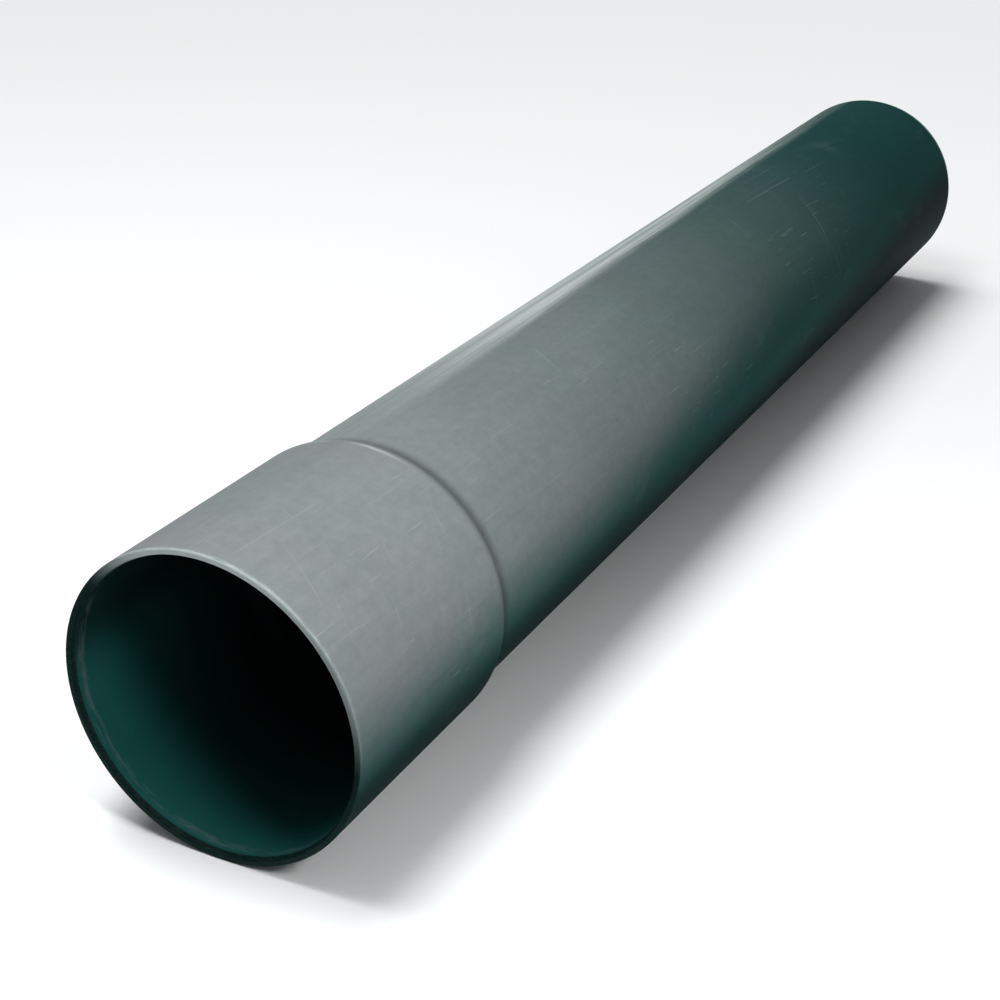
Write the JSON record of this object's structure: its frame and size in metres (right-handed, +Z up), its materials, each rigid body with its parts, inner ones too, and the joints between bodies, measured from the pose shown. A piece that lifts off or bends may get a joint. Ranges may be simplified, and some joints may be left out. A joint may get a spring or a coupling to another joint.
{
  "type": "pvc pipe with a plain socket",
  "caption": "Rigid grey PVC drain pipe with a plain formed socket at one end and a bevelled spigot at the other.",
  "frame": {"origin": "middle of the pipe's length, straight below its axis, on the level floor that the socket rests on", "axes": "+Y along the pipe's axis from the socket mouth to the spigot end, +Z up, +X to the right when looking into the socket mouth"},
  "size_m": [0.1685, 1.05, 0.1685],
  "materials": {
    "pvc": "extruded, satin dark grey with a green-blue cast"
  },
  "bodies": {
    "root": {"pipe": "pvc"}
  },
  "joints": []
}
